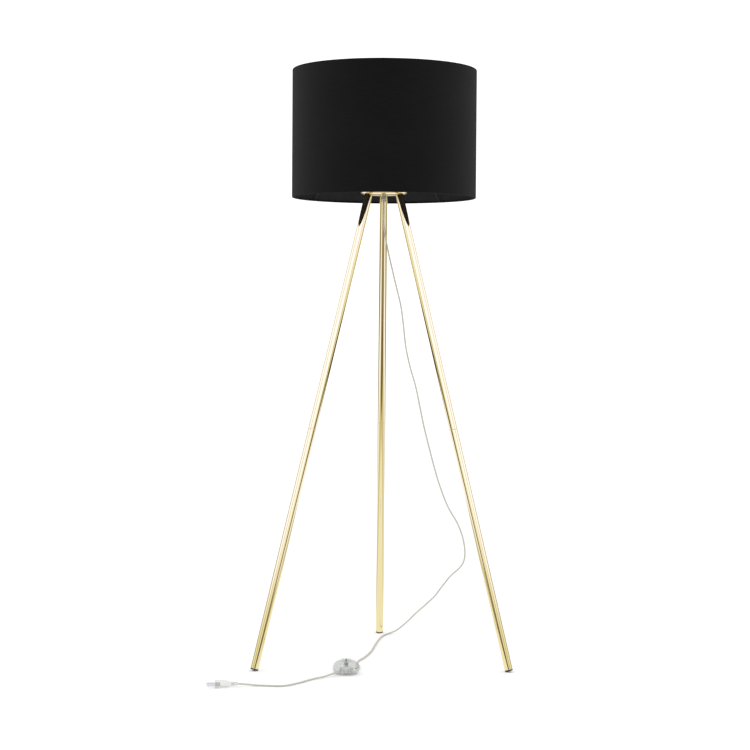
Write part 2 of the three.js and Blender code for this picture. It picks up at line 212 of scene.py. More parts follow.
def polished_brass():
    n = Nodes("polished_brass", Metallic=1.0)
    cloud = n.noise((9, 9, 4))
    n.colour(cloud, (0.89, 0.765, 0.40), (0.92, 0.79, 0.43))
    polish = n.noise((900, 900, 14), detail=3)
    n.roughness(polish, 0.03, 0.06)
    n.bump(polish, 0.000004)
    return n.material


def plated(name, dark, light, rough):
    n = Nodes(name, Metallic=1.0)
    n.colour(n.noise((140, 140, 140)), dark, light)
    grain = n.noise((1500, 1500, 300), detail=3)
    n.roughness(grain, rough, rough + 0.14)
    n.bump(grain, 0.00001)
    return n.material


def moulded(name, dark, light, rough, grain_depth=0.00002, grain_scale=2500):
    """A moulded plastic, rubber or glazed piece: a little mottled, with a fine grain."""
    n = Nodes(name)
    n.colour(n.noise((60, 60, 60)), dark, light)
    grain = n.noise((grain_scale,) * 3, detail=2)
    n.roughness(grain, rough, rough + 0.12)
    n.bump(grain, grain_depth)
    return n.material


def black_fabric():
    """A plain woven cotton on UVs in metres: fine warp and weft threads, with slubs along the weft."""
    n = Nodes("black_fabric", Specular_IOR_Level=0.0)
    slub = n.noise((26, 950, 1), uv=True, detail=5, rough=0.6)
    blotch = n.noise((7, 9, 1), uv=True, detail=3)
    tone = n.math("ADD", n.math("MULTIPLY", slub, 0.75), n.math("MULTIPLY", blotch, 0.25))
    n.colour(tone, (0.0029, 0.0028, 0.0029), (0.0068, 0.0066, 0.0068), 0.34, 0.66)
    n.shader.inputs["Sheen Weight"].default_value = 0.068
    n.shader.inputs["Sheen Roughness"].default_value = 0.6
    n.shader.inputs["Sheen Tint"].default_value = (1.0, 0.97, 1.0, 1)
    n.shader.inputs["Roughness"].default_value = 0.85
    weft = n.wave((0, 350, 0), "Y")
    warp = n.wave((420, 0, 0), "X")
    threads = n.math("ADD", n.math("MULTIPLY", weft, 0.5), n.math("MULTIPLY", warp, 0.35))
    n.bump(n.math("ADD", threads, n.math("MULTIPLY", slub, 0.9)), 0.00018)
    return n.material


def lining_film():
    n = Nodes("lining_film", Specular_IOR_Level=0.3)
    n.colour(n.noise((30, 30, 30)), (0.013, 0.013, 0.014), (0.019, 0.019, 0.020))
    n.roughness(n.noise((400, 400, 60)), 0.42, 0.58)
    n.bump(n.noise((60, 60, 60)), 0.0001)
    return n.material


def clear_plastic(name, low, high, **inputs):
    n = Nodes(name, **inputs)
    n.colour(n.noise((25, 25, 25)), low, high)
    haze = n.noise((300, 300, 300))
    n.roughness(haze, 0.04, 0.12)
    n.bump(haze, 0.00001)
    return n.material


def clear_cord():
    """The sheath is clear, and its two twisted cores show through it as a slow spiral."""
    n = Nodes("clear_cord", Transmission_Weight=0.04, IOR=1.4, Roughness=0.4, Specular_IOR_Level=0.2)
    twist = n.wave((2.0, 13.0, 0), "DIAGONAL")
    cloud = n.noise((1, 60, 1), uv=True, detail=2)
    tone = n.math("ADD", n.math("MULTIPLY", twist, 0.6), n.math("MULTIPLY", cloud, 0.4))
    n.colour(tone, (0.47, 0.46, 0.40), (0.55, 0.54, 0.48))
    n.bump(twist, 0.00004)
    return n.material


def opal_globe():
    n = Nodes("opal", Subsurface_Weight=0.5, Subsurface_Scale=0.004)
    n.colour(n.noise((40, 40, 40)), (0.86, 0.85, 0.81), (0.90, 0.89, 0.85))
    n.roughness(n.noise((900, 900, 900)), 0.2, 0.3)
    return n.material


finishes = {
    "polished_brass": polished_brass(),
    "zinc_steel": plated("zinc_steel", (0.50, 0.50, 0.50), (0.66, 0.67, 0.68), 0.26),
    "foot_rubber": moulded("foot_rubber", (0.010, 0.010, 0.010), (0.022, 0.022, 0.021), 0.55, 0.00004),
    "clear_plastic": clear_plastic(
        "clear_plastic", (0.42, 0.44, 0.41), (0.47, 0.49, 0.46), Alpha=0.22, IOR=1.4,
    ),
    "clear_grip": clear_plastic(
        "clear_grip", (0.46, 0.45, 0.40), (0.54, 0.53, 0.48), Alpha=0.4, IOR=1.4,
    ),
    "holder_plastic": moulded("holder_plastic", (0.008, 0.008, 0.008), (0.014, 0.014, 0.014), 0.34),
    "ceramic": moulded("ceramic", (0.66, 0.63, 0.55), (0.76, 0.73, 0.66), 0.35),
    "contact_brass": plated("contact_brass", (0.62, 0.44, 0.16), (0.78, 0.58, 0.26), 0.3),
    "nickel": plated("nickel", (0.60, 0.58, 0.54), (0.72, 0.70, 0.66), 0.2),
    "bulb_plastic": moulded("bulb_plastic", (0.76, 0.76, 0.74), (0.84, 0.84, 0.82), 0.38),
    "opal": opal_globe(),
    "black_fabric": black_fabric(),
    "lining_film": lining_film(),
    "black_wire": moulded("black_wire", (0.006, 0.006, 0.006), (0.012, 0.012, 0.012), 0.42, 0.00004, 1400),
    "clear_cord": clear_cord(),
    "grey_plastic": moulded("grey_plastic", (0.07, 0.07, 0.06), (0.11, 0.11, 0.09), 0.4),
}


# ---- mesh building ----
def finished(name, mesh, finish, body, replaced=(), place=None, sharp=32):
    """Makes the piece of a mesh, in its place on its body, in its finish."""
    if place is not None:
        mesh.transform(place)
    mesh.shade_smooth()
    mesh.set_sharp_from_angle(angle=math.radians(sharp))
    piece = linked(name, mesh)
    mesh.materials.clear()
    mesh.materials.append(finishes[finish])
    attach(piece, body)
    if replaced:
        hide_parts(*replaced)
    return piece


ON_AXIS = 1e-6
EDGE_SHARE = 0.48
SUPPORT_ROOM = 2.6
SUPPORT_SHARE = 0.5


def rounded(outline, steps=4):
    """An outline whose points are (x, y) or (x, y, radius). A radius rounds that corner off, and a
    point beside it on a long edge keeps that edge's shading straight."""
    made = []
    count = len(outline)
    for i, corner in enumerate(outline):
        here = Vector(corner[:2])
        radius = corner[2] if len(corner) > 2 else 0
        if not radius:
            made.append(here)
            continue
        before = Vector(outline[i - 1][:2]) - here
        after = Vector(outline[(i + 1) % count][:2]) - here
        half = before.angle(after) / 2
        reach = min(radius / math.tan(half), EDGE_SHARE * before.length, EDGE_SHARE * after.length)
        start = here + before.normalized() * reach
        end = here + after.normalized() * reach
        if before.length > SUPPORT_ROOM * reach:
            made.append(start + before.normalized() * SUPPORT_SHARE * reach)
        for k in range(steps + 1):
            t = k / steps
            made.append(start * (1 - t) ** 2 + here * 2 * t * (1 - t) + end * t * t)
        if after.length > SUPPORT_ROOM * reach:
            made.append(end + after.normalized() * SUPPORT_SHARE * reach)
    return made


def lathe(outline, sides=64, wave=None, steps=4):
    """A mesh of an outline of (radius, height) in millimetres turned about Z. It starts and ends on
    the axis or closes on itself. wave(radius, height, angle) gives a point's new radius and height."""
    points = rounded(outline, steps=steps)
    bm = bmesh.new()
    rings = []
    for r, z in points:
        if r < ON_AXIS:
            rings.append([bm.verts.new((0, 0, z * MM))] * sides)
            continue
        ring = []
        for i in range(sides):
            angle = 2 * math.pi * i / sides
            radius, height = wave(r, z, angle) if wave else (r, z)
            x = radius * math.cos(angle) * MM
            y = radius * math.sin(angle) * MM
            ring.append(bm.verts.new((x, y, height * MM)))
        rings.append(ring)
    on_axis = points[0][0] < ON_AXIS
    pairs = list(zip(rings, rings[1:])) + ([] if on_axis else [(rings[-1], rings[0])])
    for low, high in pairs:
        for i in range(sides):
            j = (i + 1) % sides
            corners = list(dict.fromkeys((low[i], low[j], high[j], high[i])))
            if len(corners) > 2:
                bm.faces.new(corners)
    return meshed(bm)


def mesh_of(bm):
    """The mesh of a bmesh that is done with."""
    mesh = bpy.data.meshes.new("mesh")
    bm.to_mesh(mesh)
    bm.free()
    return mesh


def meshed(bm):
    """The same, with its faces turned outward."""
    bmesh.ops.recalc_face_normals(bm, faces=bm.faces)
    return mesh_of(bm)


def slab(outline, low, high, edge=0.0):
    """A flat outline in millimetres raised from low to high, its edges rounded by edge."""
    points = rounded(outline)
    rings = 3
    tiers = []
    for k in range(rings + 1):
        a = math.pi / 2 * k / rings
        tiers.append((edge * (1 - math.sin(a)), low + edge * (1 - math.cos(a))))
    tiers += [(inset, low + high - z) for inset, z in reversed(tiers)]
    bm = bmesh.new()
    made = []
    for inset, z in tiers:
        ring = []
        for i, p in enumerate(points):
            along = points[(i + 1) % len(points)] - points[i - 1]
            normal = Vector((along.y, -along.x)).normalized()
            q = p - normal * inset
            ring.append(bm.verts.new((q.x * MM, q.y * MM, z * MM)))
        made.append(ring)
    for lower, upper in zip(made, made[1:]):
        for i in range(len(points)):
            j = (i + 1) % len(points)
            bm.faces.new((lower[i], lower[j], upper[j], upper[i]))
    bm.faces.new(reversed(made[0]))
    bm.faces.new(made[-1])
    return meshed(bm)


def smooth_path(points, step):
    """Points a step apart along the centripetal Catmull-Rom curve through the given ones."""
    places = [Vector(p) for p in points]
    places.insert(0, 2 * places[0] - places[1])
    places.append(2 * places[-1] - places[-2])
    made = []
    for p0, p1, p2, p3 in zip(places, places[1:], places[2:], places[3:]):
        t1 = (p1 - p0).length ** 0.5
        t2 = t1 + (p2 - p1).length ** 0.5
        t3 = t2 + (p3 - p2).length ** 0.5
        count = max(2, round((p2 - p1).length / step))
        for k in range(count):
            t = t1 + (t2 - t1) * k / count
            a1 = p0 * (t1 - t) / t1 + p1 * t / t1
            a2 = p1 * (t2 - t) / (t2 - t1) + p2 * (t - t1) / (t2 - t1)
            a3 = p2 * (t3 - t) / (t3 - t2) + p3 * (t - t2) / (t3 - t2)
            b1 = a1 * (t2 - t) / t2 + a2 * t / t2
            b2 = a2 * (t3 - t) / (t3 - t1) + a3 * (t - t1) / (t3 - t1)
            made.append(b1 * (t2 - t) / (t2 - t1) + b2 * (t - t1) / (t2 - t1))
    made.append(places[-2])
    return made


def tube(path, radius, sides=16, closed=False):
    """A round tube along the points of a path, with UVs in turns round it and metres along it."""
    count = len(path)
    bm = bmesh.new()
    uv = bm.loops.layers.uv.new("UVMap")
    rings, travelled = [], [0.0]
    normal = None
    for i, p in enumerate(path):
        ahead = path[(i + 1) % count] if closed or i + 1 < count else p
        behind = path[i - 1] if closed or i else p
        along = (ahead - behind).normalized()
        if normal is None:
            normal = along.orthogonal().normalized()
        normal = (normal - along * normal.dot(along)).normalized()
        across = along.cross(normal)
        around = []
        for k in range(sides):
            a = 2 * math.pi * k / sides
            spoke = normal * math.cos(a) + across * math.sin(a)
            around.append(bm.verts.new(p + spoke * radius))
        rings.append(around)
        if i:
            travelled.append(travelled[-1] + (p - path[i - 1]).length)
    pairs = [(i, i + 1) for i in range(count - 1)] + ([(count - 1, 0)] if closed else [])
    for low, high in pairs:
        for k in range(sides):
            m = (k + 1) % sides
            face = bm.faces.new((rings[low][k], rings[low][m], rings[high][m], rings[high][k]))
            corners = ((k, low), (k + 1, low), (k + 1, high), (k, high))
            for loop, (turn, ring) in zip(face.loops, corners):
                loop[uv].uv = (turn / sides, travelled[ring])
    if not closed:
        bm.faces.new(reversed(rings[0]))
        bm.faces.new(rings[-1])
    return mesh_of(bm)


def cut(mesh, *tools):
    """The mesh less the tool meshes."""
    target = linked("target", mesh)
    helpers = []
    for tool in tools:
        helper = linked("tool", tool)
        helpers.append(helper)
        modifier = target.modifiers.new("cut", "BOOLEAN")
        modifier.object = helper
        modifier.operation = "DIFFERENCE"
        modifier.solver = "EXACT"
    made = bpy.data.meshes.new_from_object(target.evaluated_get(bpy.context.evaluated_depsgraph_get()))
    for helper in (target, *helpers):
        bpy.data.objects.remove(helper)
    return made


def joined(*meshes):
    """One mesh of several, which may lie apart."""
    bm = bmesh.new()
    for mesh in meshes:
        bm.from_mesh(mesh)
    return mesh_of(bm)


def moved(mesh, place):
    mesh.transform(place)
    return mesh


def rod(radius, low, high, edge=0.0, sides=24):
    return lathe([(0, low), (radius, low, edge), (radius, high, edge), (0, high)], sides)


def along_x(mesh, x=0.0, y=0.0, z=0.0):
    """Turns a mesh's Z to X and moves it, in millimetres."""
    return moved(mesh, Matrix.Translation((x * MM, y * MM, z * MM)) @ Matrix.Rotation(math.pi / 2, 4, "Y"))


# ---- the cord ----
CORD_RADIUS = 2 * MM
CORD_STEP = 4 * MM
CORD_TO_SWITCH = [(x * MM, y * MM, z * MM) for x, y, z in (
    (0, 0, 1119.2), (0, 2, 1098), (0, 7, 1075), (2, 14, 1051), (9, 23, 1011),
    (20, 33, 963), (32, 44, 914), (44, 55, 865), (51, 66, 815), (57, 77, 765),
    (68, 89, 715), (83, 101, 664), (94, 114, 613), (105, 127, 562), (118, 141, 511),
    (132, 155, 459), (148, 170, 407), (169, 186, 354), (198, 201, 302), (213, 214, 252),
    (214, 230, 212), (203, 250, 188), (183, 272, 166), (162, 295, 136), (141, 315, 104),
    (117, 330, 78), (91, 340, 53), (67, 346, 28), (43, 343, 9), (20, 322, 2.1),
    (5, 290, 2.1), (-3, 250, 2.1), (-10, 197, 2.1), (-16, 143, 2.1), (-24, 70, 2.1),
    (-41, -15, 2.1), (-54, -58, 2.1), (-57, -98, 2.3), (-52, -134, 4), (-51, -158, 6.2),
    (-60.1, -180.4, 7),
)]
CORD_TO_PLUG = [(x * MM, y * MM, z * MM) for x, y, z in (
    (-102.9, -229.6, 7), (-113, -240.6, 6), (-130, -256, 3.2), (-158, -283, 2.1),
    (-191, -332, 2.1), (-219, -360, 2.1), (-250, -361, 2.1), (-279, -357, 2.1),
    (-301, -361, 4.6), (-323.2, -364.9, 6.9),
)]


def add_cord(name, route):
    path = smooth_path(route, CORD_STEP)
    for p in path:
        p.z = max(p.z, CORD_RADIUS)
    piece = finished(f"{name}_sheath", tube(path, CORD_RADIUS), "clear_cord", "stand", [name], sharp=60)


# ---- the legs, in millimetres ----
TUBE_RADIUS = 9.5
TUBE_BORE = 8.3
TUBE_LIP = 0.55
HALF_JOINT = 0.15
COPE_GAP = 0.3
COPE_REACH = 10
COPE_ROUNDS = 4
CAP_SHOWS = 2.8
CAP_GAP = 0.3
CAP_RADIUS = TUBE_RADIUS - 0.1
CAP_STEM = 16
HUB_FLAT = 30
HUB_RISE = 7
HUB_WALL = 2
LEG_SIDES = 96
STUD_HOLE = 4.3
NIPPLE_HOLE = 5.3


def dish_radius():
    low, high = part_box("hub_dish")
    return (high.x - low.x) / 2 / MM


def dish_rise(radius, r):
    """How far the underside of a dish of this radius stands above its flat middle, r from its centre."""
    share = min(1, max(0, (r - HUB_FLAT) / (radius - HUB_FLAT)))
    return HUB_RISE * (1 - math.sqrt(1 - share * share))


def leg_tube(low, high):
    lip = TUBE_LIP
    return lathe(
        [(TUBE_BORE, low), (TUBE_RADIUS, low, lip), (TUBE_RADIUS, high, lip), (TUBE_BORE, high)],
        LEG_SIDES,
    )


def add_leg(leg):
    """Two tubes, the upper one coped to the dish's underside, and a foot cap that stands flat."""
    place = leg_frame(leg)
    back = place.inverted()
    joint = (back @ middle(f"leg_joiner_{leg}")).z / MM
    upper = leg_tube(joint + HALF_JOINT, 0)
    hub_radius = dish_radius()
    for v in upper.vertices:
        if v.co.z > -COPE_REACH * MM:
            below = v.co.z - COPE_GAP * MM
            for _ in range(COPE_ROUNDS):
                at = place @ v.co
                rise = dish_rise(hub_radius, math.hypot(at.x, at.y) / MM) * MM
                v.co.z += (hub_z + rise + below - at.z) / place[2][2]
    finished(f"upper_tube_{leg}", upper, "polished_brass", "stand", [f"leg_upper_{leg}"], place)
    cap_low = leg_end(leg, back)
    cap_high = cap_low + CAP_SHOWS
    lower = leg_tube(cap_high + CAP_GAP, joint - HALF_JOINT)
    finished(f"lower_tube_{leg}", lower, "polished_brass", "stand", [f"leg_lower_{leg}"], place)
    cap = lathe(
        [
            (0, cap_low),
            (CAP_RADIUS, cap_low, 1.0),
            (CAP_RADIUS, cap_high, 0.3),
            (7.9, cap_high),
            (7.3, cap_high + CAP_STEM, 0.5),
            (0, cap_high + CAP_STEM),
        ],
        64,
    )
    cap.transform(place)
    for v in cap.vertices:
        v.co.z = max(v.co.z, 0)
    finished(f"foot_{leg}", cap, "foot_rubber", "stand", [f"foot_cap_{leg}"])


def leg_end(leg, back):
    """The lower end of a leg along its own axis, in millimetres: the lowest point of its foot cap."""
    cap = nodes[f"foot_cap_{leg}"].data.vertices
    return min((back @ v.co).z for v in cap) / MM


# ---- the hub ----
def dish_edge(radius, z, inset):
    """The dish's curved edge from its flat to its rim, as far inside its underside as inset."""
    steps = 14
    reach = radius - HUB_FLAT - inset
    turns = [math.pi / 2 * i / steps for i in range(steps + 1)]
    return [(HUB_FLAT + reach * math.sin(a), z + inset + HUB_RISE * (1 - math.cos(a))) for a in turns]


def add_hub():
    z = hub_z / MM
    radius = dish_radius()
    top = high_z("hub_dish") / MM
    dish = lathe(
        [
            (NIPPLE_HOLE, z),
            *dish_edge(radius, z, 0),
            (radius, top, 0.7),
            (radius - HUB_WALL, top, 0.7),
            *reversed(dish_edge(radius, z, HUB_WALL)),
            (NIPPLE_HOLE, z + HUB_WALL),
        ],
        128,
    )
    holes = [moved(rod(STUD_HOLE, -10, 24), leg_frame(leg)) for leg in legs]
    finished("hub_pan", cut(dish, *holes), "polished_brass", "stand", ["hub_dish"])

    low = low_z("cord_grip") / MM
    top = high_z("cord_grip") / MM
    bore_top = top - 9
    cord_bore = 2.3
    outside = 6.1
    grip = lathe(
        [
            (cord_bore, low),
            (5, low, 0.8),
            (outside, low + 3, 2.0),
            (outside, top, 0.4),
            (NIPPLE_HOLE, top),
            (NIPPLE_HOLE, bore_top),
            (cord_bore, bore_top),
        ],
        48,
    )
    on_side = Matrix.Rotation(math.pi / 2, 4, "X")
    slit = moved(slab([(-0.6, 0), (0.6, 0), (0.6, 12), (-0.6, 12)], 4.2, 8), on_side)
    slit.transform(Matrix.Translation((0, 0, (top - 8.5) * MM)))
    screw_z = (low + 3.6) * MM
    screw_hole = moved(along_x(rod(1.6, 1, 10)), Matrix.Translation((0, 0, screw_z)))
    piece = finished("cord_gland", cut(grip, slit, screw_hole), "clear_grip", "stand", ["cord_grip"])
    piece.visible_shadow = False


# ---- the shade ----
def add_shade():
    box_low, box_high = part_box("shade_drum")
    radius = (box_high.x - box_low.x) / 2 / MM
    low, high = box_low.z / MM, box_high.z / MM
    hem = 3.6
    film = 0.45
    roll = 5.0
    fold = 1.6
    turned_in = 0.9
    outline = [
        (radius, low, fold),
        (radius, high, fold),
        (radius - roll, high, fold),
        (radius - roll, high - hem, turned_in),
        (radius - film, high - hem),
        (radius - film, low + hem),
        (radius - roll, low + hem, turned_in),
        (radius - roll, low, fold),
    ]
    sides = 384
    seam = math.radians(74)
    seam_width = 0.022
    cloth_step = 0.35

    def overlap(r, z, angle):
        """The cloth's end is glued over its start: a step at the seam that fades into the round."""
        past = (angle - seam) % (2 * math.pi)
        on_seam = r > radius - 0.2 and past < seam_width
        proud = cloth_step * max(0.0, 1 - past / seam_width) if on_seam else 0
        return r - cloth_step + proud, z

    cloth = lathe(outline, sides, overlap, steps=6)
    add_wall_uvs(cloth)
    fabric = finished("shade_fabric", cloth, "black_fabric", "shade", ["shade_drum"])
    lining = lathe(
        [
            (radius - film - 0.4, low + hem + 0.1),
            (radius - film - 0.4, high - hem - 0.1),
            (radius - 1.3, high - hem - 0.1),
            (radius - 1.3, low + hem + 0.1),
        ],
        sides,
    )
    film_piece = finished("shade_lining", lining, "lining_film", "shade")
    strip_turn = math.radians(76.5)
    strip_width = 13
    strip = wall_strip(radius - 1.32, low + hem + 0.3, high - hem - 0.3, 0.3, strip_turn, strip_width)
    strip_piece = finished("lining_seam", strip, "lining_film", "shade")


def add_wall_uvs(mesh):
    """UVs in metres: round the drum and up it."""
    layer = mesh.uv_layers.new(name="UVMap")
    for face in mesh.polygons:
        turn = math.atan2(face.center.y, face.center.x)
        for i in face.loop_indices:
            p = mesh.vertices[mesh.loops[i].vertex_index].co
            radius = math.hypot(p.x, p.y)
            angle = turn + (math.atan2(p.y, p.x) - turn + math.pi) % (2 * math.pi) - math.pi
            layer.data[i].uv = (angle * radius, p.z)


def wall_strip(radius, low, high, thick, turn, width):
    """A strip up the inside of the drum, in millimetres, its long edges faired into the wall."""
    bm = bmesh.new()
    columns = 8
    rows = []
    for r_of in (lambda t: radius, lambda t: radius - thick * min(1, 4 * t, 4 * (1 - t)) - 0.02):
        row = []
        for i in range(columns + 1):
            t = i / columns
            a = turn + (t - 0.5) * width / radius
            r = r_of(t) * MM
            row.append([bm.verts.new((r * math.cos(a), r * math.sin(a), z * MM)) for z in (low, high)])
        rows.append(row)
    outer, inner = rows
    for i in range(columns):
        bm.faces.new((outer[i][0], outer[i + 1][0], outer[i + 1][1], outer[i][1]))
        bm.faces.new((inner[i][0], inner[i][1], inner[i + 1][1], inner[i + 1][0]))
        for end in (0, 1):
            bm.faces.new((outer[i][end], inner[i][end], inner[i + 1][end], outer[i + 1][end]))
    for i in (0, columns):
        bm.faces.new((outer[i][0], outer[i][1], inner[i][1], inner[i][0]))
    return meshed(bm)


RING_BORE = 20.3


def add_fitter():
    for name in ("top", "bottom"):
        low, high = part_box(f"shade_ring_{name}")
        wire = (high.z - low.z) / 2
        radius = (high.x - low.x) / 2 - wire
        z = (low.z + high.z) / 2
        turns = [2 * math.pi * i / 240 for i in range(240)]
        path = [Vector((radius * math.cos(a), radius * math.sin(a), z)) for a in turns]
        hoop = tube(path, wire, 12, closed=True)
        finished(f"rim_wire_{name}", hoop, "black_wire", "shade", [f"shade_ring_{name}"])
    ring = middle("fitter_ring")
    low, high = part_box("fitter_ring")
    plate = lathe(
        [
            (RING_BORE, low.z / MM, 0.2),
            (high.x / MM, low.z / MM, 0.35),
            (high.x / MM, high.z / MM, 0.35),
            (RING_BORE, high.z / MM, 0.2),
        ],
        96,
    )
    finished("shade_carrier", plate, "black_wire", "shade", ["fitter_ring"])
    bottom = low_z("shade_drum") / MM
    stub = 218.6
    arm_radius = 1.5 * MM
    level = ring.z / MM
    for i in range(1, 5):
        side = middle(f"fitter_arm_{i}")
        turn = Matrix.Rotation(math.atan2(side.y, side.x), 4, "Z")
        route = [
            (stub, bottom + 1), (stub, bottom + 6), (stub - 1, bottom + 11), (stub - 6, bottom + 16),
            (stub - 38, level - 6), (stub - 47, level - 1), (stub - 58, level), (27, level),
        ]
        path = smooth_path([turn @ Vector((r * MM, 0, z * MM)) for r, z in route], 3 * MM)
        finished(f"spider_arm_{i}", tube(path, arm_radius, 12), "black_wire", "shade", [f"fitter_arm_{i}"])


# ---- the lampholder and the bulb ----
BULB_PITCH = 3.6


def thread(pitch, depth):
    """A round screw thread: the radius rises and falls along the height, and the turn shifts it."""

    def wave(r, z, angle):
        return r - depth / 2 + depth / 2 * math.cos(2 * math.pi * (z / pitch - angle / (2 * math.pi))), z

    return wave


def knurl(ribs, depth, outer):
    """Upright ribs round the outside."""

    def wave(r, z, angle):
        return (r - depth * (0.5 - 0.5 * math.cos(ribs * angle)) ** 2, z) if r > outer else (r, z)

    return wave


def levels(radius, low, high, step):
    count = max(1, round((high - low) / step))
    return [(radius, low + (high - low) * i / count) for i in range(count + 1)]


def add_lampholder():
    low = low_z("holder_base") / MM
    base = lathe(
        [
            (NIPPLE_HOLE, low),
            (9, low, 0.6),
            (9, low + 4, 1.0),
            (19, low + 4.6, 7.0),
            (19, low + 22, 0.5),
            (17, low + 22),
            (17, low + 7, 5.0),
            (NIPPLE_HOLE, low + 6.4),
        ],
        96,
        knurl(28, 0.5, 18.5),
        steps=8,
    )
    finished("holder_dome", base, "holder_plastic", "stand", ["holder_base"])

    bottom, top = low_z("holder_skirt") / MM, high_z("holder_skirt") / MM
    bore = 15.4
    rim = 19.8
    ridge = thread(3.0, 0.9)

    def threaded(r, z, angle):
        return ridge(r, z, angle) if r > bore + 2 and bottom + 0.5 < z < top - 0.5 else (r, z)

    skirt = lathe(
        [(bore, bottom), *levels(rim, bottom, top, 0.4), (bore, top, 0.3)],
        96,
        threaded,
    )
    finished("holder_sleeve", skirt, "holder_plastic", "stand", ["holder_skirt"])

    shell_low, shell_high = low_z("holder_thread") / MM, high_z("holder_thread") / MM
    coil = thread(BULB_PITCH, 0.5)
    inside = levels(13.9, shell_low, shell_high, 0.45)
    outside = levels(14.6, shell_low, shell_high, 0.45)
    shell = lathe([*reversed(inside), *outside], 64, coil)
    finished("holder_shell", shell, "contact_brass", "stand", ["holder_thread"])

    outer = 26.5
    for name, body in (("shade_ring_lower", "stand"), ("shade_ring_upper", "shade_clamp")):
        start, end = low_z(name) / MM, high_z(name) / MM
        nut = lathe(
            [(RING_BORE, start, 0.3), (outer, start, 0.8), (outer, end, 0.8), (RING_BORE, end, 0.3)],
            240,
            knurl(40, 0.8, 25.8),
        )
        finished(f"{name}_nut", nut, "holder_plastic", body, [name])


def add_bulb():
    low = low_z("bulb_cap") / MM
    top = high_z("bulb_cap") / MM
    coil = thread(BULB_PITCH, 1.3)

    def threaded(r, z, angle):
        return coil(r, z, angle) if r > 12 and low + 7 < z < top - 3.5 else (r, z)

    cap = lathe(
        [
            (0, low), (4, low, 0.8), (5.5, low + 2, 0.6), (12.4, low + 5.5, 0.5),
            *levels(13, low + 6, top, 0.45), (0, top),
        ],
        72,
        threaded,
    )
    finished("bulb_base", cap, "nickel", "bulb", ["bulb_cap"])
    start, end = low_z("bulb_body") / MM, high_z("bulb_body") / MM
    body = lathe(
        [(0, start), (14, start, 0.4), (15.5, start + 6, 5), (22, start + 18, 8), (29, end, 0.5), (0, end)],
        96,
    )
    finished("bulb_housing", body, "bulb_plastic", "bulb", ["bulb_body"])
    rim, crown = low_z("bulb_globe") / MM, high_z("bulb_globe") / MM
    radius = 30
    rim_radius = 29
    centre = crown - radius
    arcs = 28
    start_angle = math.asin((rim - centre) / radius)
    dome = []
    for i in range(arcs + 1):
        a = start_angle + (math.pi / 2 - start_angle) * i / arcs
        dome.append((radius * math.cos(a), centre + radius * math.sin(a)))
    dome[-1] = (0, crown)
    dome = [(min(r, rim_radius + 0.12 * (z - rim)), z) if z < rim + 8 else (r, z) for r, z in dome]
    globe = lathe([(0, rim), *dome], 96)
    finished("bulb_dome", globe, "opal", "bulb", ["bulb_globe"])


# ---- the foot switch ----
def add_switch():
    place = switch_frame()
    split = high_z("switch_base") / MM
    cord_height = 7
    ports = along_x(rod(3, -40, 40), z=cord_height)
    base = lathe(
        [
            (0, 0), (26.5, 0, 1.0), (31, 5.5, 4.0), (32.2, split, 0.3), (30.2, split, 0.3),
            (28.8, 5.5, 3.0), (26.5, 2, 1.0), (0, 2),
        ],
        96,
    )
    base_piece = finished("switch_tray", cut(base, ports), "clear_plastic", "stand", ["switch_base"], place)

    low = split + 0.3
    cover = lathe(
        [
            (32.3, low, 0.3), (32.7, 14, 6), (31.8, 19, 6), (29.3, 24, 6), (25, 28.3, 6), (19, 31.6, 6),
            (12, 33.6, 0.7), (12, 31.8, 0.4), (18.4, 29.9, 6), (23.9, 27, 6), (27.9, 23.1, 6),
            (30.1, 18.6, 6), (30.9, 14, 6), (30.5, low, 0.3),
        ],
        96,
    )
    cover_piece = finished("switch_dome", cover, "clear_plastic", "stand", ["switch_cover"], place)

    button = lathe(
        [
            (2.5, 30), (10, 30, 0.5), (10, 28), (13.5, 28, 0.4), (13.5, 29.8, 0.4), (11.6, 29.8, 0.4),
            (11.6, 34.2, 1.2), (9, 35.7, 3), (5, 36.4, 3), (0, 36.5), (0, 34.4), (2.5, 34.4),
        ],
        72,
    )
    button_piece = finished("switch_key", button, "clear_plastic", "foot_button", ["switch_button"], place)

    plunger = lathe(
        [
            (3.7, 19.5), (5, 19.5, 0.5), (5, 25.2, 1.5), (2.2, 27.6, 1.5), (2.2, 34.1, 0.4), (0, 34.1),
            (0, 25), (3.7, 24.4, 0.6),
        ],
        40,
    )
    finished("switch_stem", plunger, "grey_plastic", "foot_button", ["switch_plunger"], place)

    block = lathe(
        [
            (0, 2.3), (11, 2.3, 0.4), (11, 13, 0.8), (7.6, 13, 0.4), (7.6, 17, 0.4), (6.2, 17, 0.3),
            (6.2, 13.8), (0, 13.8),
        ],
        56,
    )
    finished("switch_carrier", block, "bulb_plastic", "stand", ["switch_block"], place)
    for piece in (base_piece, cover_piece, button_piece):
        piece.visible_shadow = False
    return [base_piece, cover_piece]


def press_spring():
    """Gives the spring under the foot button a mesh of its own."""
    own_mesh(nodes["switch_spring"])


# ---- the plug, in millimetres ----
PIN_SIDE = 9.3
RIB_COUNT = 6
RIB_STEP = 2.6
RIB_BORE = 2.55
RIB_HALF = 0.7


